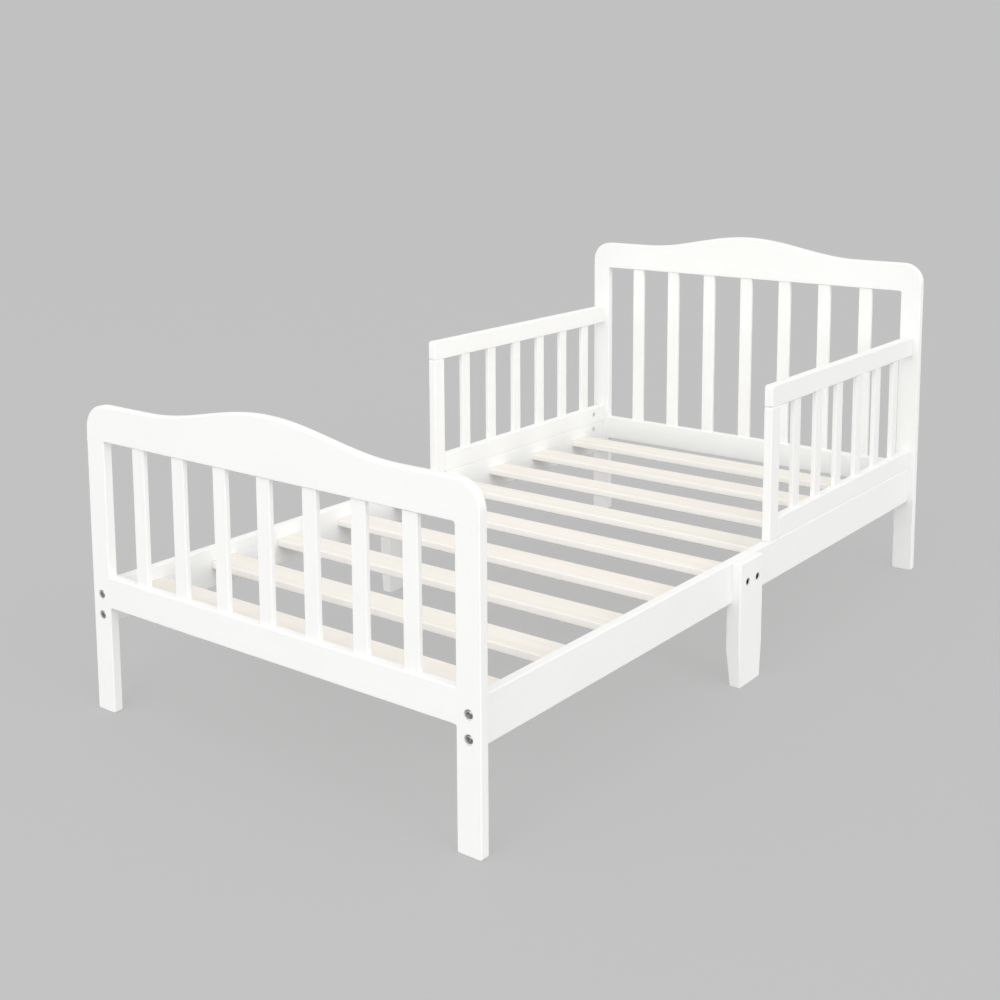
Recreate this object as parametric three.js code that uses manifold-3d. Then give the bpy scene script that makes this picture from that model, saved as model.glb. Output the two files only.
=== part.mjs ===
// Toddler bed for a crib-size mattress: two crowned slat panels, two side rails with centre legs,
// a guard on each side of the head half, and nine loose slats across.
// Millimetres. X runs across the bed, Y from foot to head, Z up from the floor.
import * as THREE from 'three';
import { mergeVertices } from 'three/addons/utils/BufferGeometryUtils.js';
import Module from 'manifold-3d';

const wasm = await Module();
wasm.setup();

// ---- Driving sizes
const BED_LENGTH = 1372;
const BED_WIDTH = 748; // over the posts
const BOARD = 15; // thickness of every painted board
const EASE = 1.5; // sanded edge of a board
const SLACK = 0.3; // clearance round tenons, slat ends and fasteners

// end panels
const POST_WIDTH = 39;
const CAP_HEIGHT = 54; // top rail beside the crown
const CAP_CORNER = 38; // radius of its shoulders
const CROWN_RISE = 30;
const CROWN_HALF = 240; // half length of the crown's swell
const HEAD_CAP_Z = 550; // underside of the headboard's top rail
const FOOT_CAP_Z = 422;
const LOW_RAIL_Z = 166;
const LOW_RAIL_HEIGHT = 48;
const PANEL_SPINDLES = 7;
const PANEL_SPINDLE_WIDTH = 26;

// spindles and joints
const SPINDLE_THICK = 8;
const HOUSING = 8; // how deep a spindle end sits in its rail
const TENON_THICK = 7;
const TENON_LONG = 14;

// side rails and centre legs
const RAIL_INSET = 12; // outer face of the rail behind the outer edge of the posts
const RAIL_HEIGHT = 66;
const RAIL_Z = 137.5;
const LEG_THICK = 24;
const LEG_PROUD = 16; // stands outside the rail; the rest carries the rail's underside
const LEG_WIDTH = 74;
const LEG_CENTRE_Y = -3;
const LEG_TAPER_HEIGHT = 60;
const LEG_TAPER = 5;

// guards
const GUARD_START_Y = 87;
const GUARD_TOP_Z = 463;
const GUARD_RAIL_HEIGHT = 36;
const GUARD_POST_WIDTH = 29;
const GUARD_CORNER = 5;
const GUARD_SPINDLES = 6;
const GUARD_SPINDLE_WIDTH = 25;

// slats
const SLATS = 9;
const SLAT_WIDTH = 53.5;
const SLAT_THICK = 12.5;
const SLAT_Z = 168.5; // underside
const SLAT_PITCH = 146.3;
const SLAT_MIDDLE_Y = -11;
const SLAT_HOUSING = 5; // depth of the pocket in the rail
const SLAT_TONGUE_THICK = 10.5; // the end let into the pocket, set back on all four sides
const SLAT_TONGUE_WIDE = 49.5;

// fasteners
const BOLT_RADIUS = 3;
const BOLT_HEAD_RADIUS = 6;
const BOLT_HEAD_THICK = 2.8;
const BOLT_LONG = 55; // shank below the head
const COUNTERBORE = 3.2;
const SOCKET_RADIUS = 2.3; // hexagon, across corners / 2
const SOCKET_DEPTH = 1.8;
const NUT_RADIUS = 5;
const NUT_DEPTH = 12;
const NUT_FROM_END = 40;
const FOOT_BOLT_Z = [152, 184];
const HEAD_BOLT_Z = [158, 191, 224];
const LEG_BOLT_Z = 170;
const LEG_BOLT_Y = 16; // either side of the bed's middle
const ROUND_SIDES = 20;

// ---- Sizes that follow
const PANEL_Y = (BED_LENGTH - BOARD) / 2;
const INNER_Y = PANEL_Y - BOARD / 2;
const RAIL_OUT = BED_WIDTH / 2 - RAIL_INSET;
const RAIL_IN = RAIL_OUT - BOARD;
const RAIL_X = (RAIL_OUT + RAIL_IN) / 2;
const RAIL_TOP = RAIL_Z + RAIL_HEIGHT;
const POST_X = (BED_WIDTH - POST_WIDTH) / 2;
const POST_IN = BED_WIDTH / 2 - POST_WIDTH;

// ---- Materials
const paint = (color) => new THREE.MeshStandardMaterial({ color, roughness: 0.45, metalness: 0 });
const whitePaint = () => paint(0xf6f6f4);
const slatWood = () =>
  new THREE.MeshStandardMaterial({ color: 0xe9e4d8, roughness: 0.6, metalness: 0 });
const zincSteel = () =>
  new THREE.MeshStandardMaterial({ color: 0xb4b6b8, roughness: 0.35, metalness: 1 });

// ---- Shapes, each centred on its own origin
function rectangle(wide, high) {
  const shape = new THREE.Shape();
  shape.moveTo(-wide / 2, -high / 2);
  shape.lineTo(wide / 2, -high / 2);
  shape.lineTo(wide / 2, high / 2);
  shape.lineTo(-wide / 2, high / 2);
  shape.closePath();
  return shape;
}

// A board cut to an outline in XY, Z through it, with its edges eased on both faces.
function cutBoard(shape, thick, curveSegments = 2) {
  const geometry = new THREE.ExtrudeGeometry(shape, {
    depth: thick - 2 * EASE,
    bevelEnabled: true,
    bevelThickness: EASE,
    bevelSize: EASE,
    bevelOffset: -EASE,
    bevelSegments: 1,
    curveSegments,
  });
  return geometry.translate(0, 0, EASE - thick / 2);
}

// Plain boards that lie flat, face the foot of the bed, or face its side.
const flatBoard = (x, y, z) => cutBoard(rectangle(x, y), z);
const frontBoard = (x, y, z) => cutBoard(rectangle(x, z), y).rotateX(Math.PI / 2);
const sideBoard = (x, y, z) => cutBoard(rectangle(z, y), x).rotateY(Math.PI / 2);

const block = (x, y, z, at) => new THREE.BoxGeometry(x, y, z).translate(...at);

function rod(radius, long, axis, at) {
  const geometry = new THREE.CylinderGeometry(radius, radius, long, ROUND_SIDES);
  if (axis === 'x') geometry.rotateZ(Math.PI / 2);
  return geometry.translate(...at);
}

// ---- Cutting and joining
function toSolid(geometry) {
  const bare = geometry.clone();
  bare.deleteAttribute('normal');
  bare.deleteAttribute('uv');
  const merged = mergeVertices(bare, 1e-4);
  const mesh = new wasm.Mesh({
    numProp: 3,
    vertProperties: new Float32Array(merged.attributes.position.array),
    triVerts: new Uint32Array(merged.index.array),
  });
  return new wasm.Manifold(mesh);
}

function toGeometry(solid) {
  const { vertProperties, triVerts } = solid.getMesh();
  const geometry = new THREE.BufferGeometry();
  geometry.setAttribute('position', new THREE.BufferAttribute(new Float32Array(vertProperties), 3));
  geometry.setIndex(new THREE.BufferAttribute(new Uint32Array(triVerts), 1));
  geometry.computeVertexNormals();
  return geometry;
}

function worked(base, { add = [], cut = [], keep = [] }) {
  let solid = toSolid(base);
  for (const extra of add) solid = solid.add(toSolid(extra));
  for (const hole of cut) solid = solid.subtract(toSolid(hole));
  for (const limit of keep) solid = solid.intersect(toSolid(limit));
  return toGeometry(solid);
}

function place(group, name, geometry, material, x, y, z) {
  const mesh = new THREE.Mesh(geometry, material);
  mesh.name = name;
  mesh.position.set(x, y, z);
  group.add(mesh);
}

// Centres of `count` equal pieces with equal gaps between two ends.
function spaced(from, to, count, width) {
  const gap = (to - from - count * width) / (count + 1);
  return Array.from({ length: count }, (_, i) => from + gap + width / 2 + i * (gap + width));
}

// ---- End panels. `out` is the Y direction of the face away from the mattress.
const SPINDLE_X = spaced(-POST_IN, POST_IN, PANEL_SPINDLES, PANEL_SPINDLE_WIDTH);
const POST_TENON_WIDE = 22;
const LOW_TENON_HIGH = 30;

function panelPost(capZ, side, out, boltHeights) {
  const cut = [
    block(TENON_LONG * 2, TENON_THICK + SLACK, LOW_TENON_HIGH + SLACK,
      [-side * POST_WIDTH / 2, 0, LOW_RAIL_Z + LOW_RAIL_HEIGHT / 2 - capZ / 2]),
  ];
  for (const z of boltHeights) {
    const at = [side * (RAIL_X - POST_X), 0, z - capZ / 2];
    const face = [at[0], out * BOARD / 2, at[2]];
    cut.push(rod(BOLT_RADIUS + SLACK, BOARD * 2, 'y', at));
    cut.push(rod(BOLT_HEAD_RADIUS + SLACK, COUNTERBORE * 2, 'y', face));
  }
  const tenon = block(POST_TENON_WIDE, TENON_THICK, TENON_LONG + EASE,
    [0, 0, capZ / 2 + (TENON_LONG - EASE) / 2]);
  return worked(frontBoard(POST_WIDTH, BOARD, capZ), { add: [tenon], cut });
}

// Outline of a top rail: square below, quarter-round shoulders, and a cosine swell in the middle.
function capOutline() {
  const half = BED_WIDTH / 2;
  const shape = new THREE.Shape();
  shape.moveTo(-half, 0);
  shape.lineTo(half, 0);
  shape.lineTo(half, CAP_HEIGHT - CAP_CORNER);
  shape.absarc(half - CAP_CORNER, CAP_HEIGHT - CAP_CORNER, CAP_CORNER, 0, Math.PI / 2);
  const steps = 20;
  for (let i = 0; i <= steps; i++) {
    const x = CROWN_HALF * (1 - (2 * i) / steps);
    const swell = (1 + Math.cos((Math.PI * x) / CROWN_HALF)) / 2;
    shape.lineTo(x, CAP_HEIGHT + CROWN_RISE * swell);
  }
  shape.absarc(-half + CAP_CORNER, CAP_HEIGHT - CAP_CORNER, CAP_CORNER, Math.PI / 2, Math.PI);
  shape.closePath();
  return shape;
}

function panelCap() {
  const cut = SPINDLE_X.map((x) =>
    block(PANEL_SPINDLE_WIDTH + SLACK, SPINDLE_THICK + SLACK, 2 * HOUSING + SLACK, [x, 0, 0]));
  for (const side of [-1, 1]) {
    cut.push(block(POST_TENON_WIDE + SLACK, TENON_THICK + SLACK, 2 * TENON_LONG + SLACK,
      [side * POST_X, 0, 0]));
  }
  return worked(cutBoard(capOutline(), BOARD, 6).rotateX(Math.PI / 2), { cut });
}

function panelLowRail() {
  const wide = 2 * POST_IN;
  const add = [-1, 1].map((side) =>
    block(TENON_LONG + EASE, TENON_THICK, LOW_TENON_HIGH,
      [side * (wide / 2 + (TENON_LONG - EASE) / 2 - SLACK), 0, 0]));
  const cut = SPINDLE_X.map((x) =>
    block(PANEL_SPINDLE_WIDTH + SLACK, SPINDLE_THICK + SLACK, 2 * HOUSING + SLACK,
      [x, 0, LOW_RAIL_HEIGHT / 2]));
  return worked(frontBoard(wide, BOARD, LOW_RAIL_HEIGHT), { add, cut });
}

function endPanel(name, out, capZ, boltHeights) {
  const panel = new THREE.Group();
  panel.position.y = out * PANEL_Y;
  const lowTop = LOW_RAIL_Z + LOW_RAIL_HEIGHT;
  const sides = { left: -1, right: 1 };
  for (const [word, side] of Object.entries(sides)) {
    const post = panelPost(capZ, side, out, boltHeights);
    place(panel, `${name}_post_${word}`, post, whitePaint(), side * POST_X, 0, capZ / 2);
  }
  place(panel, `${name}_top_rail`, panelCap(), whitePaint(), 0, 0, capZ);
  place(panel, `${name}_bottom_rail`, panelLowRail(), whitePaint(),
    0, 0, LOW_RAIL_Z + LOW_RAIL_HEIGHT / 2);
  const long = capZ - lowTop + 2 * HOUSING;
  SPINDLE_X.forEach((x, i) => {
    const spindle = frontBoard(PANEL_SPINDLE_WIDTH, SPINDLE_THICK, long);
    place(panel, `${name}_spindle_${i + 1}`, spindle, whitePaint(), x, 0, (capZ + lowTop) / 2);
  });
  return panel;
}

// ---- Side rails, centre legs and slats
const SLAT_Y = Array.from({ length: SLATS }, (_, i) =>
  SLAT_MIDDLE_Y + (i - (SLATS - 1) / 2) * SLAT_PITCH);
const GUARD_POST_Y = GUARD_START_Y + GUARD_POST_WIDTH / 2;
const FOOT_TENON_WIDE = 16;
const FOOT_TENON_LONG = 10;
const LEG_BOLT_INTO_RAIL = 8;

function sideRail(side) {
  const middleZ = RAIL_Z + RAIL_HEIGHT / 2;
  const inner = -side * BOARD / 2;
  const cut = SLAT_Y.map((y) =>
    block(2 * SLAT_HOUSING, SLAT_TONGUE_WIDE + SLACK, SLAT_TONGUE_THICK + SLACK,
      [inner, y, SLAT_Z + SLAT_THICK / 2 - middleZ]));
  const boltEnd = (out, z) => {
    cut.push(rod(BOLT_RADIUS + SLACK, 2 * (NUT_FROM_END + NUT_RADIUS), 'y',
      [0, out * INNER_Y, z - middleZ]));
    cut.push(rod(NUT_RADIUS + SLACK, 2 * NUT_DEPTH, 'x',
      [inner, out * (INNER_Y - NUT_FROM_END), z - middleZ]));
  };
  for (const z of FOOT_BOLT_Z) boltEnd(-1, z);
  for (const z of HEAD_BOLT_Z) if (z < RAIL_TOP) boltEnd(1, z);
  for (const y of [-LEG_BOLT_Y, LEG_BOLT_Y]) {
    cut.push(rod(BOLT_RADIUS + SLACK, 2 * LEG_BOLT_INTO_RAIL, 'x',
      [-inner, y, LEG_BOLT_Z - middleZ]));
  }
  cut.push(block(TENON_THICK + SLACK, FOOT_TENON_WIDE + SLACK, 2 * FOOT_TENON_LONG + SLACK,
    [0, GUARD_POST_Y, RAIL_HEIGHT / 2]));
  return worked(sideBoard(BOARD, 2 * INNER_Y, RAIL_HEIGHT), { cut });
}

// The leg is thick below the rail and thin beside it, and both narrow faces taper to the floor.
function centreLeg() {
  const thin = LEG_THICK / 2 - LEG_PROUD;
  const profile = new THREE.Shape();
  profile.moveTo(-LEG_THICK / 2 + LEG_TAPER, 0);
  profile.lineTo(LEG_THICK / 2, 0);
  profile.lineTo(LEG_THICK / 2, RAIL_TOP - EASE);
  profile.lineTo(LEG_THICK / 2 - EASE, RAIL_TOP);
  profile.lineTo(thin, RAIL_TOP);
  profile.lineTo(thin, RAIL_Z);
  profile.lineTo(-LEG_THICK / 2, RAIL_Z);
  profile.lineTo(-LEG_THICK / 2, LEG_TAPER_HEIGHT);
  profile.closePath();
  const front = new THREE.Shape();
  front.moveTo(-LEG_WIDTH / 2 + LEG_TAPER, 0);
  front.lineTo(LEG_WIDTH / 2 - LEG_TAPER, 0);
  front.lineTo(LEG_WIDTH / 2, LEG_TAPER_HEIGHT);
  front.lineTo(LEG_WIDTH / 2, RAIL_TOP);
  front.lineTo(-LEG_WIDTH / 2, RAIL_TOP);
  front.lineTo(-LEG_WIDTH / 2, LEG_TAPER_HEIGHT);
  front.closePath();
  const across = new THREE.ExtrudeGeometry(profile, { depth: LEG_WIDTH, bevelEnabled: false })
    .translate(0, 0, -LEG_WIDTH / 2).rotateX(Math.PI / 2);
  const along = cutBoard(front, 2 * LEG_THICK)
    .rotateX(Math.PI / 2).rotateZ(Math.PI / 2).translate(-LEG_THICK / 2, 0, 0);
  return [across, along];
}

function drilledLeg(side) {
  const [across, along] = centreLeg();
  if (side < 0) {
    across.rotateZ(Math.PI);
    along.rotateZ(Math.PI);
  }
  const cut = [];
  for (const y of [-LEG_BOLT_Y, LEG_BOLT_Y]) {
    const at = [0, y - LEG_CENTRE_Y, LEG_BOLT_Z];
    cut.push(rod(BOLT_RADIUS + SLACK, 2 * LEG_THICK, 'x', at));
    cut.push(rod(BOLT_HEAD_RADIUS + SLACK, 2 * COUNTERBORE, 'x',
      [side * LEG_THICK / 2, at[1], at[2]]));
  }
  return worked(across, { cut, keep: [along] });
}

// ---- Guards. `side` is the X direction of the outer face.
const GUARD_SPINDLE_Y = spaced(GUARD_START_Y + GUARD_POST_WIDTH, INNER_Y,
  GUARD_SPINDLES, GUARD_SPINDLE_WIDTH);

function guardPockets(z, middleY) {
  return GUARD_SPINDLE_Y.map((y) =>
    block(SPINDLE_THICK + SLACK, GUARD_SPINDLE_WIDTH + SLACK, 2 * HOUSING + SLACK,
      [0, y - middleY, z]));
}

function guardTopRail() {
  const long = INNER_Y - GUARD_START_Y;
  const middleY = GUARD_START_Y + long / 2;
  const outline = new THREE.Shape();
  outline.moveTo(-GUARD_RAIL_HEIGHT / 2, long / 2);
  outline.lineTo(-GUARD_RAIL_HEIGHT / 2, -long / 2);
  outline.lineTo(GUARD_RAIL_HEIGHT / 2 - GUARD_CORNER, -long / 2);
  outline.absarc(GUARD_RAIL_HEIGHT / 2 - GUARD_CORNER, -long / 2 + GUARD_CORNER,
    GUARD_CORNER, -Math.PI / 2, 0);
  outline.lineTo(GUARD_RAIL_HEIGHT / 2, long / 2);
  outline.closePath();
  const rail = cutBoard(outline, BOARD, 4).rotateY(-Math.PI / 2);
  const cut = guardPockets(-GUARD_RAIL_HEIGHT / 2, middleY);
  cut.push(block(TENON_THICK + SLACK, FOOT_TENON_WIDE + SLACK, 2 * TENON_LONG + SLACK,
    [0, GUARD_POST_Y - middleY, -GUARD_RAIL_HEIGHT / 2]));
  return worked(rail, { cut });
}

function guardPost(high) {
  const add = [
    block(TENON_THICK, FOOT_TENON_WIDE, TENON_LONG + EASE, [0, 0, (high + TENON_LONG - EASE) / 2]),
    block(TENON_THICK, FOOT_TENON_WIDE, FOOT_TENON_LONG + EASE,
      [0, 0, -(high + FOOT_TENON_LONG - EASE) / 2]),
  ];
  return worked(sideBoard(BOARD, GUARD_POST_WIDTH, high), { add });
}

function guardLowRail(side) {
  const start = GUARD_START_Y + GUARD_POST_WIDTH;
  const long = INNER_Y - start;
  const cut = guardPockets(GUARD_RAIL_HEIGHT / 2, start + long / 2);
  const middleZ = RAIL_TOP + GUARD_RAIL_HEIGHT / 2;
  const z = Math.max(...HEAD_BOLT_Z) - middleZ;
  cut.push(rod(BOLT_RADIUS + SLACK, 2 * (NUT_FROM_END + NUT_RADIUS), 'y', [0, long / 2, z]));
  cut.push(rod(NUT_RADIUS + SLACK, 2 * NUT_DEPTH, 'x',
    [-side * BOARD / 2, long / 2 - NUT_FROM_END, z]));
  return worked(sideBoard(BOARD, long, GUARD_RAIL_HEIGHT), { cut });
}

function guard(word, side) {
  const group = new THREE.Group();
  group.position.x = side * RAIL_X;
  const name = `guard_${word}`;
  const capZ = GUARD_TOP_Z - GUARD_RAIL_HEIGHT;
  const lowTop = RAIL_TOP + GUARD_RAIL_HEIGHT;
  const postHigh = capZ - RAIL_TOP;
  place(group, `${name}_top_rail`, guardTopRail(), whitePaint(),
    0, (GUARD_START_Y + INNER_Y) / 2, capZ + GUARD_RAIL_HEIGHT / 2);
  place(group, `${name}_front_post`, guardPost(postHigh), whitePaint(),
    0, GUARD_POST_Y, RAIL_TOP + postHigh / 2);
  place(group, `${name}_bottom_rail`, guardLowRail(side), whitePaint(),
    0, (GUARD_START_Y + GUARD_POST_WIDTH + INNER_Y) / 2, RAIL_TOP + GUARD_RAIL_HEIGHT / 2);
  const long = capZ - lowTop + 2 * HOUSING;
  GUARD_SPINDLE_Y.forEach((y, i) => {
    const spindle = sideBoard(SPINDLE_THICK, GUARD_SPINDLE_WIDTH, long);
    place(group, `${name}_spindle_${i + 1}`, spindle, whitePaint(), 0, y, (capZ + lowTop) / 2);
  });
  return group;
}

// ---- Connector bolt: flat head with a hexagon socket at Y = 0, shank along +Y.
function connectorBolt() {
  const tip = BOLT_HEAD_THICK + BOLT_LONG;
  const profile = [
    [0, 0], [BOLT_HEAD_RADIUS - 0.5, 0], [BOLT_HEAD_RADIUS, 0.5],
    [BOLT_HEAD_RADIUS, BOLT_HEAD_THICK], [BOLT_RADIUS, BOLT_HEAD_THICK],
    [BOLT_RADIUS, tip - 1], [BOLT_RADIUS - 1, tip], [0, tip],
  ].map(([r, y]) => new THREE.Vector2(r, y));
  const body = new THREE.LatheGeometry(profile, ROUND_SIDES);
  const socket = new THREE.CylinderGeometry(SOCKET_RADIUS, SOCKET_RADIUS, 2 * SOCKET_DEPTH, 6);
  return worked(body, { cut: [socket] });
}

// ---- The bed
const bed = new THREE.Group();
bed.add(endPanel('headboard', 1, HEAD_CAP_Z, HEAD_BOLT_Z));
bed.add(endPanel('footboard', -1, FOOT_CAP_Z, FOOT_BOLT_Z));

for (const [word, side] of [['left', -1], ['right', 1]]) {
  place(bed, `side_rail_${word}`, sideRail(side), whitePaint(),
    side * RAIL_X, 0, RAIL_Z + RAIL_HEIGHT / 2);
  place(bed, `centre_leg_${word}`, drilledLeg(side), whitePaint(),
    side * (RAIL_OUT + LEG_PROUD - LEG_THICK / 2), LEG_CENTRE_Y, 0);
  bed.add(guard(word, side));
  FOOT_BOLT_Z.forEach((z, i) => {
    place(bed, `foot_bolt_${word}_${['lower', 'upper'][i]}`, connectorBolt(), zincSteel(),
      side * RAIL_X, -BED_LENGTH / 2 + COUNTERBORE - BOLT_HEAD_THICK, z);
  });
}

SLAT_Y.forEach((y, i) => {
  const between = flatBoard(2 * (RAIL_IN - SLACK), SLAT_WIDTH, SLAT_THICK);
  const tongues = block(2 * (RAIL_IN + SLAT_HOUSING - SLACK), SLAT_TONGUE_WIDE, SLAT_TONGUE_THICK,
    [0, 0, 0]);
  const slat = worked(between, { add: [tongues] });
  place(bed, `slat_${i + 1}`, slat, slatWood(), 0, y, SLAT_Z + SLAT_THICK / 2);
});

export default bed;
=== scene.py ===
"""Toddler bed of white-enamelled boards with loose pale slats, in metres, Z up, foot of the bed at -Y."""
import math

import bmesh
import bpy
import numpy as np
from mathutils import Matrix, Vector
from mathutils.geometry import delaunay_2d_cdt


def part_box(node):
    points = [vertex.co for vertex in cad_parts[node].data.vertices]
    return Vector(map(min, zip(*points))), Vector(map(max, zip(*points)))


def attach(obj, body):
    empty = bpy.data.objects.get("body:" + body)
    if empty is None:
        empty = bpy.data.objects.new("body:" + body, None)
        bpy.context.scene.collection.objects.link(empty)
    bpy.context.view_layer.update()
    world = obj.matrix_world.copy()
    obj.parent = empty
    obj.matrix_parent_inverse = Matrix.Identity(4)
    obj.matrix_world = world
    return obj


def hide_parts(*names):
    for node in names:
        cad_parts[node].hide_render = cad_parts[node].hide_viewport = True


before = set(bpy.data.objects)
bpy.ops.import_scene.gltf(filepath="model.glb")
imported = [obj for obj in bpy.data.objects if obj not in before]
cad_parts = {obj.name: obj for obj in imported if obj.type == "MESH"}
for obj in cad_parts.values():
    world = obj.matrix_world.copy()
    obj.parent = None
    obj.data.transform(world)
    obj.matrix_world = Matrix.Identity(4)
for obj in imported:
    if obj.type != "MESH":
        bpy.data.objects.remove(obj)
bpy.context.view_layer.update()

MM = 0.001
SIDES = (("left", -1), ("right", 1))


# ---- Side rails
# Two 66 mm boards the length of the bed, softwood under sprayed satin white enamel. The inner face has
# a shallow pocket for the end of each slat and round holes for the barrel nuts that take the end bolts.
ROUND_STEPS = 5
CORNER_STEPS = 6
WIDE_CORNER_STEPS = 16
HOLE_POINTS = 40
RAIL_EASE = 1.8 * MM
POCKET_DEPTH = 5 * MM
POCKET_GAP = 0.3 * MM
POCKET_CORNER = 1 * MM
LIP = 0.25 * MM  # how far the mouth of a hole or pocket is rounded over
SLATS = 9
FOOT_BOLT_Z = (0.152, 0.184)
HEAD_BOLT_Z = (0.158, 0.191, 0.224)
NUT_FROM_END = 40 * MM
NUT_HOLE = 5.3 * MM
NUT_HOLE_DEPTH = 12 * MM


def linear(colour):
    """sRGB hex to linear RGBA: c / 12.92 below 0.04045, else ((c + 0.055) / 1.055) to the power 2.4."""
    srgb = [int(colour[i:i + 2], 16) / 255 for i in (1, 3, 5)]
    return [c / 12.92 if c <= 0.04045 else ((c + 0.055) / 1.055) ** 2.4 for c in srgb] + [1]


def add(tree, kind, values=(), links=(), **settings):
    """Adds a node: settings are its own fields, values and links are its inputs by name or number."""
    made = tree.nodes.new(kind)
    for field, value in settings.items():
        setattr(made, field, value)
    for key, value in dict(values).items():
        made.inputs[key].default_value = value
    for key, source in dict(links).items():
        tree.links.new(source, made.inputs[key])
    return made


def satin_enamel(name, grain):
    """Sprayed satin white enamel on sanded softwood. Faint fibres along the grain still show through the
    film, the film has a slight orange peel, and its white drifts a little from cloud to cloud."""
    fibre_across, fibre_along = 1.6 * MM, 70 * MM
    cloud, peel, sheen = 140 * MM, 2.6 * MM, 45 * MM
    fibre_relief, peel_relief = 0.035 * MM, 0.02 * MM
    white, off_white, bare_fibre = linear("#f8f8f7"), linear("#f4f4f2"), linear("#ecebe6")
    material = bpy.data.materials.new(name)
    material.use_nodes = True
    tree = material.node_tree
    tree.nodes.clear()
    place = add(tree, "ShaderNodeTexCoord").outputs["Object"]
    stretch = [1 / fibre_across] * 3
    stretch[grain] = 1 / fibre_along
    along = add(tree, "ShaderNodeMapping", {"Scale": stretch}, {"Vector": place}).outputs[0]
    fibres = add(tree, "ShaderNodeTexNoise", {"Scale": 1, "Detail": 4, "Roughness": 0.6},
                 {"Vector": along}).outputs["Fac"]
    clouds, gloss, orange = (
        add(tree, "ShaderNodeTexNoise", {"Scale": 1 / size, "Detail": detail},
            {"Vector": place}).outputs["Fac"]
        for size, detail in ((cloud, 2), (sheen, 3), (peel, 1)))
    film = add(tree, "ShaderNodeMix", {6: white, 7: off_white}, {0: clouds}, data_type="RGBA").outputs[2]
    thin = add(tree, "ShaderNodeMapRange", {"From Min": 0.55, "From Max": 0.8, "To Max": 0.35},
               {"Value": fibres}).outputs[0]
    colour = add(tree, "ShaderNodeMix", {7: bare_fibre}, {0: thin, 6: film}, data_type="RGBA").outputs[2]
    rough = add(tree, "ShaderNodeMapRange", {"From Min": 0.3, "From Max": 0.7, "To Min": 0.36, "To Max": 0.5},
                {"Value": gloss}).outputs[0]
    ridged = add(tree, "ShaderNodeBump", {"Strength": 1, "Distance": fibre_relief}, {"Height": fibres})
    surface = add(tree, "ShaderNodeBump", {"Strength": 1, "Distance": peel_relief},
                  {"Height": orange, "Normal": ridged.outputs[0]})
    shader = add(tree, "ShaderNodeBsdfPrincipled", {"IOR": 1.5},
                 {"Base Color": colour, "Roughness": rough, "Normal": surface.outputs[0]})
    add(tree, "ShaderNodeOutputMaterial", (), {"Surface": shader.outputs[0]})
    return material


ENAMEL = [satin_enamel(f"satin white enamel, grain along {word}", i) for i, word in enumerate("XYZ")]
ACROSS, ALONG, UP = ENAMEL


def rectangle(low, high, radii, steps=CORNER_STEPS):
    """Anticlockwise rectangle as points and outward normals. Each corner is an arc of radius r about the
    point r inside both sides, and n turns a quarter along it; radii start at the low right corner."""
    turn = np.linspace(0, np.pi / 2, steps)
    corners = ((high[0], low[1], 1, -1), (high[0], high[1], 1, 1),
               (low[0], high[1], -1, 1), (low[0], low[1], -1, -1))
    points, normals = [], []
    for i, ((a, b, out_a, out_b), r) in enumerate(zip(corners, radii)):
        angle = turn + (i - 1) * np.pi / 2
        n = np.stack([np.cos(angle), np.sin(angle)], 1)
        points.append(np.array([a - out_a * r, b - out_b * r]) + r * n)
        normals.append(n)
    return np.concatenate(points), np.concatenate(normals)


def circle(a, b, radius):
    """Points a, b + r n, with n turning once round."""
    angle = np.linspace(0, 2 * np.pi, HOLE_POINTS, endpoint=False)
    n = np.stack([np.cos(angle), np.sin(angle)], 1)
    return np.array([a, b]) + radius * n, n


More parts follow.
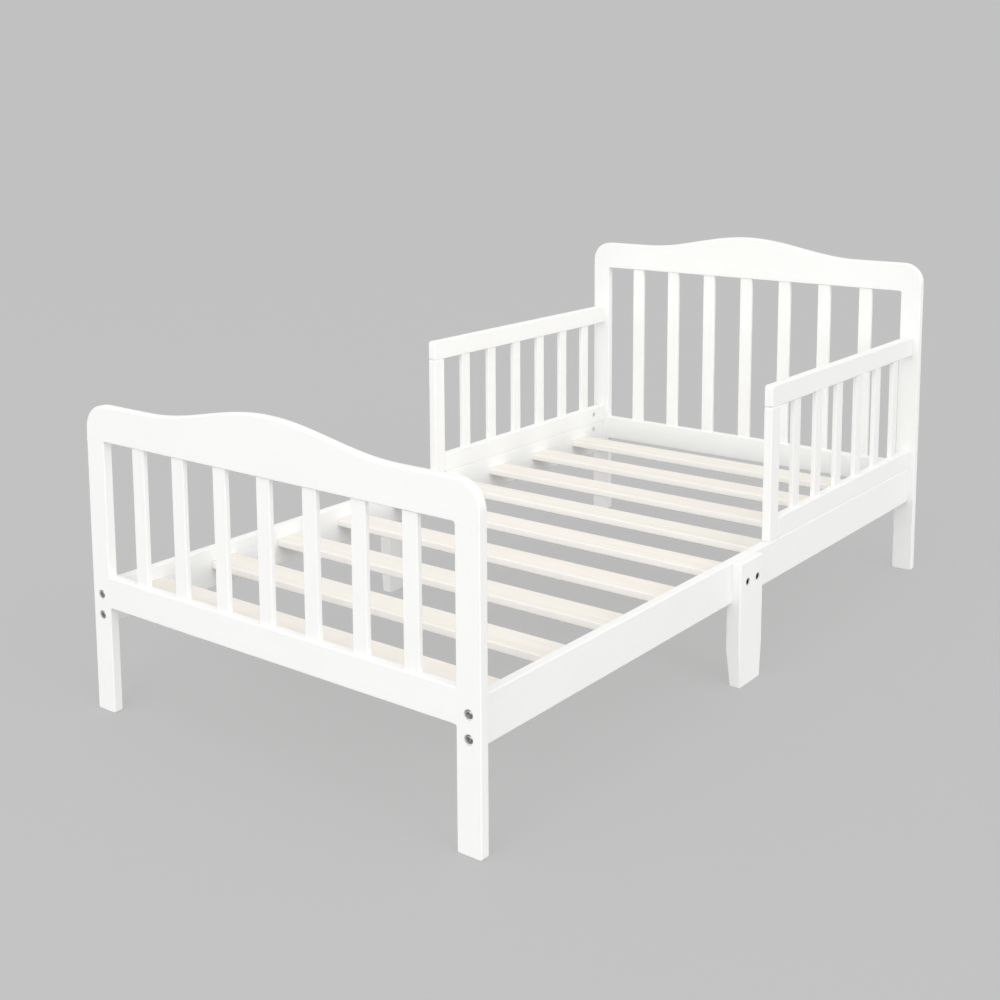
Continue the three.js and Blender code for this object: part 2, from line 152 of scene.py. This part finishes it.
def board(axis, span, outline, ease, sockets=()):
    """A board sawn to a closed outline and rounded over on both faces. An outline point p with outward
    normal n is a column of points p - r(1 - sin t)n at depth r(1 - cos t) below a face, t from 0 to a
    right angle, down from one face and up from the other. Sockets (face, outline, depth) go the same way
    inwards: a rounded lip, a straight wall and a flat floor. `axis` is the direction through the board."""
    t = np.linspace(0, np.pi / 2, ROUND_STEPS)
    over = np.stack([1 - np.sin(t), 1 - np.cos(t), np.sin(t), np.cos(t)], 1)
    places, normals, faces, ends = [], [], [], {0: [], 1: []}

    def sweep(outline, rows, base, into):
        """Rows of (inset, depth, share of the sideways normal, share of the face's normal)."""
        points, n = outline
        grid = (len(rows), len(points))
        inset, depth, sideways, facing = (np.broadcast_to(rows[:, i], grid) for i in range(4))
        return (np.concatenate([points - inset[..., None] * n, (base + into * depth)[..., None]], 2),
                np.concatenate([sideways[..., None] * n, (-into * facing)[..., None]], 2))

    def keep(place, normal, flip):
        """Stores a grid that closes on itself along its rows, with a quad in each cell."""
        start = sum(len(p) for p in places)
        rows, columns = place.shape[:2]
        index = start + np.arange(rows * columns).reshape(rows, columns)
        beside = np.roll(index, -1, 1)
        quads = np.stack([index[:-1], beside[:-1], beside[1:], index[1:]], 2).reshape(-1, 4)
        faces.extend((quads[:, ::-1] if flip else quads).tolist())
        places.append(place.reshape(-1, 3))
        normals.append(normal.reshape(-1, 3))
        return index

    ease = np.broadcast_to(ease, len(outline[0]))
    rim = over[:, :, None] * [ease, ease, np.ones_like(ease), np.ones_like(ease)]
    below, above = (sweep(outline, rim, base, into) for base, into in ((span[0], 1), (span[1], -1)))
    index = keep(np.concatenate([below[0], above[0][::-1]]),
                 np.concatenate([below[1], above[1][::-1]]), False)
    ends[0].append(index[0])
    ends[1].append(index[-1])
    for face, hole, depth in sockets:
        into = (1, -1)[face]
        lip = over * [-LIP, LIP, -1, 1]
        floor = np.array([[0, depth - LIP, -1, 0], [LIP, depth, 0, 1]])
        index = keep(*sweep(hole, np.concatenate([lip, floor])[..., None], span[face], into), into > 0)
        ends[face].append(index[0])
        faces.append(index[-1][::into * -1].tolist())
    flat = np.concatenate(places)
    for face, loops in ends.items():
        if len(loops) == 1:
            patch = [loops[0].tolist()]
        else:
            members = np.concatenate(loops)
            local = np.split(np.arange(len(members)), np.cumsum([len(x) for x in loops])[:-1])
            edges = [pair for x in local for pair in zip(x.tolist(), np.roll(x, -1).tolist())]
            made, origins = delaunay_2d_cdt([tuple(p) for p in flat[members, :2]], edges, [], 1, 1e-7)[2:4]
            loop_of = np.repeat(np.arange(len(loops)), [len(x) for x in loops])
            patch = []
            for corners in made:
                own = [origins[v][0] for v in corners]
                if loop_of[own[0]] == 0 or len(set(loop_of[own])) > 1:  # not across the mouth of a socket
                    patch.append(members[own].tolist())
        faces.extend(p if face else p[::-1] for p in patch)
    order = ([2, 0, 1], [0, 2, 1], [0, 1, 2])[axis]
    if axis == 1:  # across, up and back is a left-handed set, so its faces turn round
        faces = [f[::-1] for f in faces]
    return flat[:, order], faces, np.concatenate(normals)[:, order]


def fit(name, shape, material, slot, *nodes):
    """Makes the mesh of a shape (places, faces, normals), gives it its finish and fixes it to the bed."""
    places, faces, normals = shape
    mesh = bpy.data.meshes.new(name)
    mesh.from_pydata(places.tolist(), [], faces)
    mesh.shade_smooth()
    mesh.normals_split_custom_set_from_vertices(normals.tolist())
    mesh.materials.append(material)
    piece = bpy.data.objects.new(name, mesh)
    bpy.context.scene.collection.objects.link(piece)
    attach(piece, "root")
    if nodes:
        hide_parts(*nodes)
    return piece


slat_boxes = [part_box(f"slat_{i + 1}") for i in range(SLATS)]
nut_places = {}
for word, side in SIDES:
    low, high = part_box(f"side_rail_{word}")
    inner = 0 if side > 0 else 1
    nut_places[word] = [(low.y + NUT_FROM_END, z) for z in FOOT_BOLT_Z]
    nut_places[word] += [(high.y - NUT_FROM_END, z) for z in HEAD_BOLT_Z]
    sockets = [(inner, circle(y, z, NUT_HOLE), NUT_HOLE_DEPTH) for y, z in nut_places[word] if z < high.z]
    for slat_low, slat_high in slat_boxes:
        mouth = rectangle((slat_low.y - POCKET_GAP, slat_low.z - POCKET_GAP),
                          (slat_high.y + POCKET_GAP, slat_high.z + POCKET_GAP), [POCKET_CORNER] * 4)
        sockets.append((inner, mouth, POCKET_DEPTH))
    outline = rectangle((low.y, low.z), (high.y, high.z), [2 * RAIL_EASE] * 4)
    rail = board(0, (low.x, high.x), outline, RAIL_EASE, sockets)
    fit(f"rail_{word}", rail, ALONG, "white_paint", f"side_rail_{word}")


# ---- Centre legs
# One to each rail, a thick board notched round the rail's underside and tapered to the floor, in the same
# enamel. Two short bolts through counterbores hold it to the rail; its long edges are rounded over.
LEG_EASE = 1.6 * MM
LEG_ROUND_STEPS = 4
LONG_EDGE = 9 * MM  # shorter edges are facets of the bolt holes
MERGE = 0.01 * MM
FLAT, CREASE, SHARP = math.radians(1), math.radians(20), math.radians(32)

for word, side in SIDES:
    shape = bmesh.new()
    shape.from_mesh(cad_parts[f"centre_leg_{word}"].data)
    bmesh.ops.remove_doubles(shape, verts=shape.verts, dist=MERGE)
    bmesh.ops.dissolve_limit(shape, angle_limit=FLAT, verts=shape.verts, edges=shape.edges)
    edges = [e for e in shape.edges if e.calc_length() > LONG_EDGE and e.calc_face_angle() > CREASE]
    bmesh.ops.bevel(shape, geom=edges, offset=LEG_EASE, segments=LEG_ROUND_STEPS, profile=0.5,
                    affect="EDGES", clamp_overlap=True)
    bmesh.ops.dissolve_degenerate(shape, dist=MERGE, edges=shape.edges)
    mesh = bpy.data.meshes.new(f"leg_board_{word}")
    shape.to_mesh(mesh)
    shape.free()
    mesh.shade_smooth()
    mesh.set_sharp_from_angle(angle=SHARP)
    mesh.materials.append(UP)
    leg = bpy.data.objects.new(f"leg_board_{word}", mesh)
    bpy.context.scene.collection.objects.link(leg)
    leg.modifiers.new("flat faces stay flat", "WEIGHTED_NORMAL").keep_sharp = True
    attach(leg, "root")
    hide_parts(f"centre_leg_{word}")


# ---- Slats
# Nine loose slats of pale sanded poplar, bare, with their long edges rounded. No two boards have quite
# the same tone, and the rounded long edges are painted a little paler than the faces, a painted highlight.
SLAT_EASE = 2.2 * MM
SLAT_SEED = 11


def bare_poplar(name):
    """Bare sanded poplar. Long pale fibres, wide soft growth bands and a few darker streaks; the tone of
    each slat comes from its own attribute."""
    fibre_across, fibre_along = 1.4 * MM, 110 * MM
    band_across, band_along = 16 * MM, 420 * MM
    relief = 0.06 * MM
    warm, greenish, growth = linear("#f9f3ec"), linear("#f7f5ec"), linear("#f3ecdf")
    # sanded is the paler colour of the painted highlight on the rounded long edges.
    dark_fibre, sanded = linear("#e9dfcf"), linear("#fdfaf5")
    material = bpy.data.materials.new(name)
    material.use_nodes = True
    tree = material.node_tree
    tree.nodes.clear()
    place = add(tree, "ShaderNodeTexCoord").outputs["Object"]
    fibre_place, band_place = (
        add(tree, "ShaderNodeMapping", {"Scale": (1 / along, 1 / across, 1 / across)},
            {"Vector": place}).outputs[0]
        for along, across in ((fibre_along, fibre_across), (band_along, band_across)))
    fibres = add(tree, "ShaderNodeTexNoise", {"Scale": 1, "Detail": 5, "Roughness": 0.65},
                 {"Vector": fibre_place}).outputs["Fac"]
    bands = add(tree, "ShaderNodeTexNoise", {"Scale": 1, "Detail": 2, "Distortion": 0.6},
                {"Vector": band_place}).outputs["Fac"]
    tone = add(tree, "ShaderNodeAttribute", attribute_name="tone").outputs["Fac"]
    body = add(tree, "ShaderNodeMix", {6: warm, 7: greenish}, {0: tone}, data_type="RGBA").outputs[2]
    banded = add(tree, "ShaderNodeMapRange", {"From Min": 0.42, "From Max": 0.72, "To Max": 0.55},
                 {"Value": bands}).outputs[0]
    grown = add(tree, "ShaderNodeMix", {7: growth}, {0: banded, 6: body}, data_type="RGBA").outputs[2]
    streak = add(tree, "ShaderNodeMapRange", {"From Min": 0.5, "From Max": 0.78, "To Max": 0.5},
                 {"Value": fibres}).outputs[0]
    colour = add(tree, "ShaderNodeMix", {7: dark_fibre}, {0: streak, 6: grown}, data_type="RGBA").outputs[2]
    # painted highlight: the rounded long edges are mixed towards the paler colour.
    edge = add(tree, "ShaderNodeAttribute", attribute_name="edge").outputs["Fac"]
    colour = add(tree, "ShaderNodeMix", {7: sanded}, {0: edge, 6: colour}, data_type="RGBA").outputs[2]
    rough = add(tree, "ShaderNodeMapRange", {"To Min": 0.55, "To Max": 0.75}, {"Value": fibres}).outputs[0]
    surface = add(tree, "ShaderNodeBump", {"Strength": 1, "Distance": relief}, {"Height": fibres})
    shader = add(tree, "ShaderNodeBsdfPrincipled", {"IOR": 1.45},
                 {"Base Color": colour, "Roughness": rough, "Normal": surface.outputs[0]})
    add(tree, "ShaderNodeOutputMaterial", (), {"Surface": shader.outputs[0]})
    return material


poplar = bare_poplar("bare sanded poplar")
tones = np.random.default_rng(SLAT_SEED).random(SLATS)
for i, (low, high) in enumerate(slat_boxes):
    outline = rectangle((low.x, low.y), (high.x, high.y), [2 * SLAT_EASE] * 4)
    slat = fit(f"slat_board_{i + 1}", board(2, (low.z, high.z), outline, SLAT_EASE), poplar,
               "slat_wood", f"slat_{i + 1}")
    place = np.array([v.co.y for v in slat.data.vertices])
    # share of the painted highlight, 1 on the rounded long edges and 0 across the flat faces.
    painted_edge_highlight = np.clip((np.abs(place - (low.y + high.y) / 2) - (high.y - low.y) / 2) / SLAT_EASE + 1, 0, 1)
    for field, value in (("tone", np.full(len(place), tones[i])), ("edge", painted_edge_highlight)):
        slat.data.attributes.new(field, "FLOAT", "POINT").data.foreach_set("value", value.astype(np.float32))


# ---- Headboard and footboard
# Each panel is two posts to the floor, a bottom rail between them, a crowned top rail that caps the posts
# and seven flat spindles housed in both rails. The posts are counterbored on the outside for the bolts.
PANEL_EASE = 1.8 * MM
SPINDLE_EASE = 1.6 * MM
SHOULDER = 38 * MM
CROWN_RISE = 30 * MM
CROWN_HALF = 240 * MM
CROWN_POINTS = 121
COUNTERBORE = 7 * MM
COUNTERBORE_DEPTH = 3.2 * MM
PANEL_SPINDLES = 7
BOLT_X = 354.5 * MM
JOINT_EASE = 0.3 * MM
JOINT_CORNER = 0.5 * MM
RUN_OUT = 3 * MM
HAIR = 0.01 * MM


def jointed(outline, ease, joints):
    """Stops the rounding of a board's edge where another board butts against it. Each joint is a box over
    the outline; new points go in where a straight run crosses its sides and the lines RUN_OUT beyond them,
    and the radius is JOINT_EASE inside the box and the full one elsewhere."""
    points, normals = outline
    for low, high in joints:
        for axis in (0, 1):
            for stop in (low[axis] - RUN_OUT, low[axis], high[axis], high[axis] + RUN_OUT):
                here, after = points[:, axis], np.roll(points[:, axis], -1)
                cut = np.flatnonzero((here - stop) * (after - stop) < 0)
                share = ((stop - here) / np.where(after == here, 1, after - here))[cut, None]
                new = points[cut] + share * (np.roll(points, -1, 0)[cut] - points[cut])
                points = np.insert(points, cut + 1, new, 0)
                normals = np.insert(normals, cut + 1, normals[cut], 0)
    radius = np.full(len(points), ease)
    for low, high in joints:
        inside = np.all((points > np.array(low) - HAIR) & (points < np.array(high) + HAIR), 1)
        radius[inside] = JOINT_EASE
    return (points, normals), radius


def crowned(low, high):
    """Outline of a top rail: the rectangle below the crown with wide shoulders, and between the shoulders
    a swell of height h(1 + cos(pi x / w)) / 2, whose normal is the slope turned a right angle."""
    points, normals = rectangle((low.x, low.z), (high.x, high.z - CROWN_RISE),
                                [JOINT_CORNER, SHOULDER, SHOULDER, JOINT_CORNER], WIDE_CORNER_STEPS)
    x = np.linspace(CROWN_HALF, -CROWN_HALF, CROWN_POINTS)
    wave = np.pi * x / CROWN_HALF
    swell = np.stack([x, high.z - CROWN_RISE + CROWN_RISE * (1 + np.cos(wave)) / 2], 1)
    slope = -CROWN_RISE * np.pi / CROWN_HALF * np.sin(wave) / 2
    n = np.stack([-slope, np.ones_like(x)], 1) / np.hypot(slope, 1)[:, None]
    middle = 2 * WIDE_CORNER_STEPS
    return (np.concatenate([points[:middle], swell, points[middle:]]),
            np.concatenate([normals[:middle], n, normals[middle:]]))


for panel, outer, bolt_heights in (("headboard", 1, HEAD_BOLT_Z), ("footboard", 0, FOOT_BOLT_Z)):
    cap_low, cap_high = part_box(f"{panel}_top_rail")
    rail_low, rail_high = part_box(f"{panel}_bottom_rail")
    posts = {word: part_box(f"{panel}_post_{word}") for word, side in SIDES}
    for word, side in SIDES:
        low, high = posts[word]
        inner = low.x if side > 0 else high.x
        sockets = [(outer, circle(side * BOLT_X, z, COUNTERBORE), COUNTERBORE_DEPTH) for z in bolt_heights]
        corner = 2 * PANEL_EASE
        outline, ease = jointed(
            rectangle((low.x, low.z), (high.x, cap_low.z), [corner, JOINT_CORNER, JOINT_CORNER, corner]),
            PANEL_EASE, [((low.x, cap_low.z - JOINT_CORNER), (high.x, cap_low.z)),
                         ((inner, rail_low.z), (inner, rail_high.z))])
        fit(f"{panel}_upright_{word}", board(1, (low.y, high.y), outline, ease, sockets), UP, "white_paint",
            f"{panel}_post_{word}")
    under = [((low.x, cap_low.z), (high.x, cap_low.z + JOINT_CORNER)) for low, high in posts.values()]
    outline, ease = jointed(crowned(cap_low, cap_high), PANEL_EASE, under)
    fit(f"{panel}_cap", board(1, (cap_low.y, cap_high.y), outline, ease), ACROSS, "white_paint",
        f"{panel}_top_rail")
    left, right = posts["left"][1].x, posts["right"][0].x
    outline, ease = jointed(
        rectangle((left, rail_low.z), (right, rail_high.z), [JOINT_CORNER] * 4), PANEL_EASE,
        [((left, rail_low.z), (left + JOINT_CORNER, rail_high.z)),
         ((right - JOINT_CORNER, rail_low.z), (right, rail_high.z))])
    fit(f"{panel}_low_rail", board(1, (rail_low.y, rail_high.y), outline, ease), ACROSS, "white_paint",
        f"{panel}_bottom_rail")
    for i in range(PANEL_SPINDLES):
        node = f"{panel}_spindle_{i + 1}"
        low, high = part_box(node)
        outline = rectangle((low.x, low.z), (high.x, high.z), [2 * SPINDLE_EASE] * 4)
        fit(f"{panel}_flat_spindle_{i + 1}", board(1, (low.y, high.y), outline, SPINDLE_EASE), UP,
            "white_paint", node)


# ---- Guards
# Beside the head half, a fence stands on each side rail: a bottom rail, a front post under the end of the
# top rail, and six flat spindles. The top rail's front corner is rounded off.
GUARD_SPINDLES = 6
GUARD_EASE = 1.8 * MM
GUARD_CORNER = 6 * MM

for word, side in SIDES:
    inner = 0 if side > 0 else 1
    guard = f"guard_{word}"
    cap_low, cap_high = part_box(f"{guard}_top_rail")
    rail_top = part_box(f"side_rail_{word}")[1].z
    outline = rectangle((cap_low.y, cap_low.z), (cap_high.y, cap_high.z),
                        [2 * GUARD_EASE, 2 * GUARD_EASE, GUARD_CORNER, 2 * GUARD_EASE])
    fit(f"{guard}_hand_rail", board(0, (cap_low.x, cap_high.x), outline, GUARD_EASE), ALONG,
        "white_paint", f"{guard}_top_rail")
    low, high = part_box(f"{guard}_front_post")
    outline = rectangle((low.y, rail_top), (high.y, cap_low.z), [2 * GUARD_EASE] * 4)
    fit(f"{guard}_upright", board(0, (low.x, high.x), outline, GUARD_EASE), UP, "white_paint",
        f"{guard}_front_post")
    low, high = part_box(f"{guard}_bottom_rail")
    sockets = [(inner, circle(y, z, NUT_HOLE), NUT_HOLE_DEPTH) for y, z in nut_places[word] if z > rail_top]
    outline = rectangle((low.y, low.z), (high.y, high.z), [2 * GUARD_EASE] * 4)
    fit(f"{guard}_low_rail", board(0, (low.x, high.x), outline, GUARD_EASE, sockets), ALONG, "white_paint",
        f"{guard}_bottom_rail")
    for i in range(GUARD_SPINDLES):
        low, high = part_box(f"{guard}_spindle_{i + 1}")
        outline = rectangle((low.y, low.z), (high.y, high.z), [2 * SPINDLE_EASE] * 4)
        fit(f"{guard}_flat_spindle_{i + 1}", board(0, (low.x, high.x), outline, SPINDLE_EASE), UP,
            "white_paint", f"{guard}_spindle_{i + 1}")


# ---- Connector bolts and barrel nuts
# Turned steel, zinc plated, darker on the centre legs. The bolts have low domed heads with a hexagon
# socket and sit just under the face of the wood; the nuts are short barrels in the rails' inner faces,
# with a centre dimple.
TURN_POINTS = 48
HEAD_SUNK = 0.4 * MM
SHANK, LEG_SHANK = 55 * MM, 20 * MM
LEG_BOLT_Y, LEG_BOLT_Z = 16 * MM, 170 * MM
NUT_SUNK = 1.2 * MM
BOLT_SEED = 5
HEAD_THICK, SHANK_RADIUS, TIP_RADIUS, TIP_BEVEL = 2.8, 3.0, 2.2, 1.0  # mm
TURNED_EDGE = math.radians(35)
# radius, depth, 1 where the ring is the hexagon of the socket; from the socket's floor outwards, in mm
HEAD = [(0, 2.3, 0), (1.7, 1.9, 1), (2.0, 1.8, 1), (2.0, 0.4, 1), (2.3, 0.05, 1), (2.75, 0, 0),
        (3.7, 0.15, 0), (4.6, 0.5, 0), (5.3, 1.0, 0), (5.8, 1.7, 0), (5.8, 2.6, 0),
        (5.5, HEAD_THICK, 0), (SHANK_RADIUS, HEAD_THICK, 0)]
BARREL = [(0, 0.9, 0), (0.9, 0.6, 0), (1.5, 0, 0), (4.3, 0, 0), (4.8, 0.2, 0), (5.0, 0.7, 0), (5.0, 10.1, 0),
          (4.6, 10.5, 0), (0, 10.5, 0)]


def turned(profile, start, axis, into, spin):
    """A turned piece: rings of radius r at a depth along the axis, from pole to pole. On a hexagonal ring
    the radius is r / cos(a), with a the angle from the middle of the nearest flat."""
    radius, depth, hexagon = np.array(profile).T[:, :, None] * [[[MM]], [[MM]], [[1]]]
    angle = np.linspace(0, 2 * np.pi, TURN_POINTS, endpoint=False)[None]
    flat = (angle + np.pi / 6) % (np.pi / 3) - np.pi / 6
    reach = radius * np.where(hexagon > 0, 1 / np.cos(flat), 1)
    rings = np.stack([reach * np.cos(angle + spin), reach * np.sin(angle + spin),
                      np.broadcast_to(into * depth, reach.shape)], 2)
    inner = rings[1:-1]
    places = np.concatenate([inner.reshape(-1, 3), rings[0, :1], rings[-1, :1]])
    rows = len(inner)
    index = np.arange(rows * TURN_POINTS).reshape(rows, TURN_POINTS)
    beside = np.roll(index, -1, 1)
    faces = np.stack([index[:-1], index[1:], beside[1:], beside[:-1]], 2).reshape(-1, 4).tolist()
    first, last = rows * TURN_POINTS, rows * TURN_POINTS + 1
    faces += [[first, a, b] for a, b in zip(index[0].tolist(), beside[0].tolist())]
    faces += [[last, b, a] for a, b in zip(index[-1].tolist(), beside[-1].tolist())]
    if (into > 0) != (axis == 1):  # swapping the axes or turning the depth round mirrors the shape
        faces = [f[::-1] for f in faces]
    order = ([2, 0, 1], [0, 2, 1])[axis]
    return places[:, order] + np.array(start), faces


def zinc_steel(name, dark, pale, rough_low, rough_high):
    """Turned steel with bright zinc plating. The plating is mottled at a few millimetres, and turning
    marks and handling leave its gloss uneven."""
    mottle, scratch = 2.2 * MM, 0.5 * MM
    material = bpy.data.materials.new(name)
    material.use_nodes = True
    tree = material.node_tree
    tree.nodes.clear()
    place = add(tree, "ShaderNodeTexCoord").outputs["Object"]
    spots, marks = (
        add(tree, "ShaderNodeTexNoise", {"Scale": 1 / size, "Detail": detail},
            {"Vector": place}).outputs["Fac"]
        for size, detail in ((mottle, 3), (scratch, 2)))
    colour = add(tree, "ShaderNodeMix", {6: linear(dark), 7: linear(pale)}, {0: spots},
                 data_type="RGBA").outputs[2]
    rough = add(tree, "ShaderNodeMapRange",
                {"From Min": 0.3, "From Max": 0.7, "To Min": rough_low, "To Max": rough_high},
                {"Value": spots}).outputs[0]
    surface = add(tree, "ShaderNodeBump", {"Strength": 0.6, "Distance": 0.02 * MM}, {"Height": marks})
    shader = add(tree, "ShaderNodeBsdfPrincipled", {"Metallic": 1},
                 {"Base Color": colour, "Roughness": rough, "Normal": surface.outputs[0]})
    add(tree, "ShaderNodeOutputMaterial", (), {"Surface": shader.outputs[0]})
    return material


def fit_turned(name, profile, start, axis, into, spin, material, *nodes):
    """Makes a turned piece with crisp edges where its profile breaks, and fixes it to the bed."""
    places, faces = turned(profile, start, axis, into, spin)
    mesh = bpy.data.meshes.new(name)
    mesh.from_pydata(places.tolist(), [], faces)
    mesh.shade_smooth()
    mesh.set_sharp_from_angle(angle=TURNED_EDGE)
    mesh.materials.append(material)
    piece = bpy.data.objects.new(name, mesh)
    bpy.context.scene.collection.objects.link(piece)
    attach(piece, "root")
    if nodes:
        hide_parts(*nodes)


def bolt(shank):
    """The head's profile with a plain shank of the given length and a bevelled tip."""
    tip = shank / MM + HEAD_THICK
    return HEAD + [(SHANK_RADIUS, tip - TIP_BEVEL, 0), (TIP_RADIUS, tip, 0), (0, tip, 0)]


plated = zinc_steel("zinc plated steel bolt", "#77787a", "#b5b6b8", 0.1, 0.22)
blackened = zinc_steel("black zinc plated steel bolt", "#1e1f21", "#6a6b6d", 0.12, 0.28)
barrel = zinc_steel("zinc plated barrel nut", "#c2c4c6", "#eaebec", 0.4, 0.6)
turns = np.random.default_rng(BOLT_SEED)
for word, side in SIDES:
    for level, z in zip(("lower", "upper"), FOOT_BOLT_Z):
        node = f"foot_bolt_{word}_{level}"
        low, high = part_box(node)
        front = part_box(f"footboard_post_{word}")[0].y + HEAD_SUNK
        fit_turned(f"footboard_bolt_{word}_{level}", bolt(SHANK), ((low.x + high.x) / 2, front, z), 1, 1,
                   turns.random(), plated, node)
    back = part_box(f"headboard_post_{word}")[1].y - HEAD_SUNK
    for i, z in enumerate(HEAD_BOLT_Z):
        fit_turned(f"headboard_bolt_{word}_{i + 1}", bolt(SHANK), (side * BOLT_X, back, z), 1, -1,
                   turns.random(), plated)
    face = side * (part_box(f"centre_leg_{word}")[1 if side > 0 else 0].x * side - HEAD_SUNK)
    for i, y in enumerate((-LEG_BOLT_Y, LEG_BOLT_Y)):
        fit_turned(f"leg_bolt_{word}_{i + 1}", bolt(LEG_SHANK), (face, y, LEG_BOLT_Z), 0, -side,
                   turns.random(), blackened)
    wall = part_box(f"side_rail_{word}")[0 if side > 0 else 1].x + side * NUT_SUNK
    for i, (y, z) in enumerate(nut_places[word]):
        fit_turned(f"barrel_nut_{word}_{i + 1}", BARREL, (wall, y, z), 0, side, turns.random(), barrel)


# ---- Floor, light and camera
# A plain pale floor that runs out to a backdrop of the same grey, a bright dome that is strongest towards
# the foot of the bed, a wide soft sun from the bed's right and a softbox beyond its foot.
FLOOR_HALF = 60
FLOOR_GREY = "#747474"
BACKDROP_GREY = "#c1c1c1"
FLOOR_GLOW, GLOW_ON_BED = 0.36, 0.18  # the floor glows too, so that shadows on it stay faint
HORIZON, ZENITH = 1.5, 0.45
KEY_TOWARDS = (0.4, -0.82, 0.41)
KEY_STRENGTH = 0.35
SUN_PLACE, SUN_TARGET = (3, -0.5, 1.4), (0, 0, 0)
SUN_STRENGTH, SUN_ANGLE = 0.5, math.radians(30)
SOFTBOX_PLACE, SOFTBOX_TARGET = (0.8, -4.6, 2), (0, -0.7, 0.3)
SOFTBOX_SIZE, SOFTBOX_POWER = 3, 38

mesh = bpy.data.meshes.new("floor")
mesh.from_pydata([(x * FLOOR_HALF, y * FLOOR_HALF, 0) for x, y in ((-1, -1), (1, -1), (1, 1), (-1, 1))],
                 [], [(0, 1, 2, 3)])
floor = bpy.data.objects.new("floor", mesh)
bpy.context.scene.collection.objects.link(floor)
paper = bpy.data.materials.new("matt grey floor")
paper.use_nodes = True
tree = paper.node_tree
shader = tree.nodes["Principled BSDF"]
for field, value in (("Base Color", linear(FLOOR_GREY)), ("Roughness", 1), ("Specular IOR Level", 0),
                     ("Emission Color", (1, 1, 1, 1))):
    shader.inputs[field].default_value = value
bounced = add(tree, "ShaderNodeLightPath").outputs["Is Diffuse Ray"]
glow = add(tree, "ShaderNodeMapRange", {"To Min": FLOOR_GLOW, "To Max": GLOW_ON_BED},
           {"Value": bounced}).outputs[0]
tree.links.new(glow, shader.inputs["Emission Strength"])
mesh.materials.append(paper)

world = bpy.data.worlds.new("studio dome")
bpy.context.scene.world = world
world.use_nodes = True
tree = world.node_tree
tree.nodes.clear()
direction = add(tree, "ShaderNodeTexCoord").outputs["Generated"]
height = add(tree, "ShaderNodeSeparateXYZ", (), {0: direction}).outputs["Z"]
fade = add(tree, "ShaderNodeMapRange", {"To Min": HORIZON, "To Max": ZENITH}, {"Value": height}).outputs[0]
facing = add(tree, "ShaderNodeVectorMath", {1: KEY_TOWARDS}, {0: direction},
             operation="DOT_PRODUCT").outputs["Value"]
key = add(tree, "ShaderNodeMapRange", {"To Max": KEY_STRENGTH}, {"Value": facing},
          interpolation_type="SMOOTHSTEP").outputs[0]
strength = add(tree, "ShaderNodeMath", (), {0: fade, 1: key}).outputs[0]
dome = add(tree, "ShaderNodeBackground", {"Color": (1, 1, 1, 1)}, {"Strength": strength}).outputs[0]
backdrop = add(tree, "ShaderNodeBackground", {"Color": linear(BACKDROP_GREY), "Strength": 1}).outputs[0]
seen = add(tree, "ShaderNodeLightPath").outputs["Is Camera Ray"]
both = add(tree, "ShaderNodeMixShader", (), {0: seen, 1: dome, 2: backdrop}).outputs[0]
add(tree, "ShaderNodeOutputWorld", (), {"Surface": both})

sun = bpy.data.lights.new("soft sun right", "SUN")
sun.energy, sun.angle = SUN_STRENGTH, SUN_ANGLE
softbox = bpy.data.lights.new("softbox foot", "AREA")
softbox.shape, softbox.size, softbox.energy = "DISK", SOFTBOX_SIZE, SOFTBOX_POWER
for lamp, place, target in ((sun, SUN_PLACE, SUN_TARGET), (softbox, SOFTBOX_PLACE, SOFTBOX_TARGET)):
    lit = bpy.data.objects.new(lamp.name, lamp)
    aim = Vector(place) - Vector(target)
    lit.matrix_world = Matrix.Translation(place) @ aim.to_track_quat("Z", "Y").to_matrix().to_4x4()
    bpy.context.scene.collection.objects.link(lit)

CAMERA_PLACE = (1.3925, -1.9669, 0.9247)
YAW, PITCH, ROLL = 0.6563, 0.1409, -0.0048
CAMERA_LENS, SENSOR = 51.66, 36
CAMERA_SHIFT = -0.2

forward = np.array([-math.sin(YAW) * math.cos(PITCH), math.cos(YAW) * math.cos(PITCH), -math.sin(PITCH)])
level = np.array([math.cos(YAW), math.sin(YAW), 0])
upright = np.cross(level, forward)
right = math.cos(ROLL) * level + math.sin(ROLL) * upright
up = math.cos(ROLL) * upright - math.sin(ROLL) * level
lens = bpy.data.cameras.new("camera")
lens.lens, lens.sensor_width, lens.shift_y = CAMERA_LENS, SENSOR, CAMERA_SHIFT
camera = bpy.data.objects.new("camera", lens)
turn = Matrix(np.stack([right, up, -forward], 1).tolist()).to_4x4()
camera.matrix_world = Matrix.Translation(CAMERA_PLACE) @ turn
bpy.context.scene.collection.objects.link(camera)
bpy.context.scene.camera = camera
bpy.context.scene.view_settings.view_transform = "Standard"
